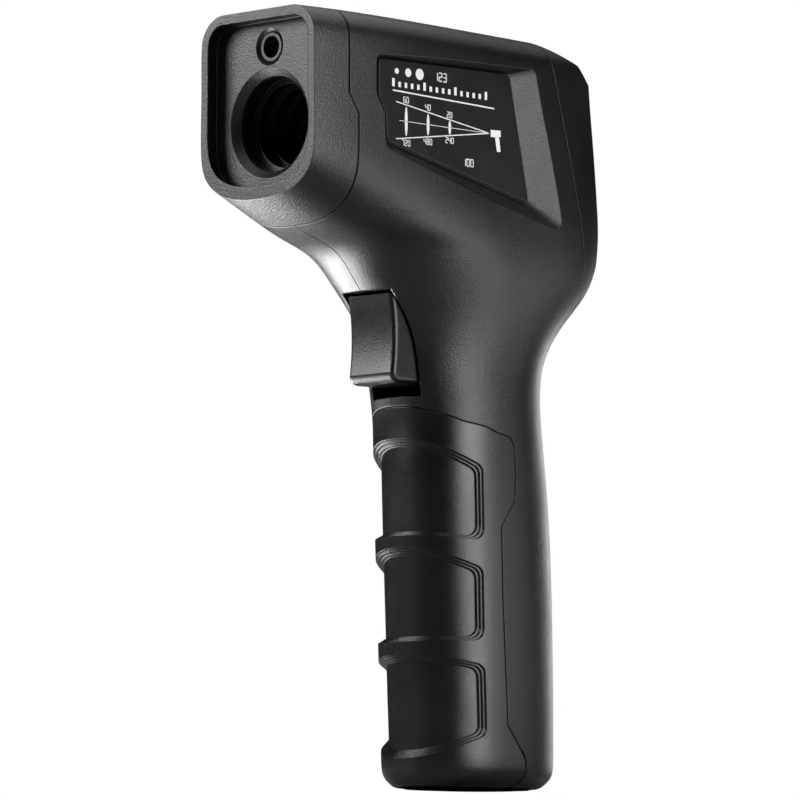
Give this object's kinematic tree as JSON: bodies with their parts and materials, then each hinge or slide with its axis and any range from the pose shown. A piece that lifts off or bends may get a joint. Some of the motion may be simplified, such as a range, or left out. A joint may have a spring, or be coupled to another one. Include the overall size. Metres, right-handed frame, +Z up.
{
  "type": "infrared thermometer",
  "caption": "Pistol-shaped infrared thermometer with a deep lens mouth in its nose, a pull trigger, finger grooves and a battery door in its handle.",
  "frame": {"origin": "middle of the base of the bounding box, on the flat of the butt", "axes": "+Z up the handle, -Y out of the nose along the line of sight, +X to the side of the printed plate seen first"},
  "size_m": [0.0418, 0.0841, 0.16],
  "materials": {
    "housing": "fine moulded grain, satin black ABS",
    "bezel": "fine moulded grain, satin black ABS",
    "cover_plastic": "fine grain black ABS",
    "grip_plastic": "smooth satin black ABS",
    "trigger_plastic": "smooth satin black ABS",
    "label": "fine grain black plate with white pad print",
    "baffle": "matt black",
    "lens_glass": "coated lens",
    "window_glass": "clear acrylic window",
    "display": "grey-green liquid crystal cell",
    "diffuser": "white light guide",
    "circuit_board": "green solder mask",
    "chip": "black moulded packages",
    "key_rubber": "moulded silicone keys",
    "steel": "plated steel",
    "brass": "turned brass",
    "cell_jacket": "plain printed jacket on the cell"
  },
  "bodies": {
    "housing": {"left_shell": "housing", "right_shell": "housing", "nose_cap": "bezel", "rear_cover": "cover_plastic", "left_label_plate": "label", "right_label_plate": "label", "lens_barrel": "baffle", "infrared_lens": "lens_glass", "lens_retainer": "baffle", "detector_can": "steel", "detector_window": "lens_glass", "sensor_board": "circuit_board", "sensor_screws": "steel", "laser_module": "brass", "laser_lens": "lens_glass", "laser_ring": "bezel", "display_window": "window_glass", "display_module": "display", "backlight_plate": "diffuser", "main_board": "circuit_board", "processor_chip": "chip", "buzzer": "chip", "board_screws": "steel", "key_switches": "steel", "trigger_pin": "steel", "trigger_spring": "steel", "trigger_switch": "chip", "battery_tray": "baffle", "battery_left": "cell_jacket", "battery_right": "cell_jacket", "contact_springs": "steel", "contact_plates": "steel", "hinge_pin": "steel", "case_screws": "steel"},
    "left_key": {"left_key": "key_rubber"},
    "mode_key": {"mode_key": "key_rubber"},
    "right_key": {"right_key": "key_rubber"},
    "trigger": {"trigger": "trigger_plastic"},
    "switch_plunger": {"switch_plunger": "key_rubber"},
    "battery_door": {"battery_door": "grip_plastic"}
  },
  "joints": [
    {"name": "trigger_pull", "type": "hinge", "parent": "housing", "child": "trigger", "pos_m": [0, -0.0025, 0.101], "axis": [1, 0, 0], "range_deg": [0, 8], "stiffness_Nm_per_rad": 0.6, "deforming": ["trigger_spring"]},
    {"name": "plunger_slide", "type": "slide", "parent": "housing", "child": "switch_plunger", "axis": [0, 1, 0], "range_m": [0, 0.00085]},
    {"name": "door_hinge", "type": "hinge", "parent": "housing", "child": "battery_door", "pos_m": [0, 0.0175, 0.0042], "axis": [1, 0, 0], "range_deg": [0, 60]},
    {"name": "left_key_press", "type": "slide", "parent": "housing", "child": "left_key", "axis": [0, -0.9929, -0.1189], "range_m": [0, 0.0006], "stiffness_N_per_m": 2500},
    {"name": "mode_key_press", "type": "slide", "parent": "housing", "child": "mode_key", "axis": [0, -0.9929, -0.1189], "range_m": [0, 0.0006], "stiffness_N_per_m": 2500},
    {"name": "right_key_press", "type": "slide", "parent": "housing", "child": "right_key", "axis": [0, -0.9929, -0.1189], "range_m": [0, 0.0006], "stiffness_N_per_m": 2500}
  ],
  "couplings": [
    {"joint": "plunger_slide", "follows": "trigger_pull", "m_per_rad": 0.006}
  ]
}
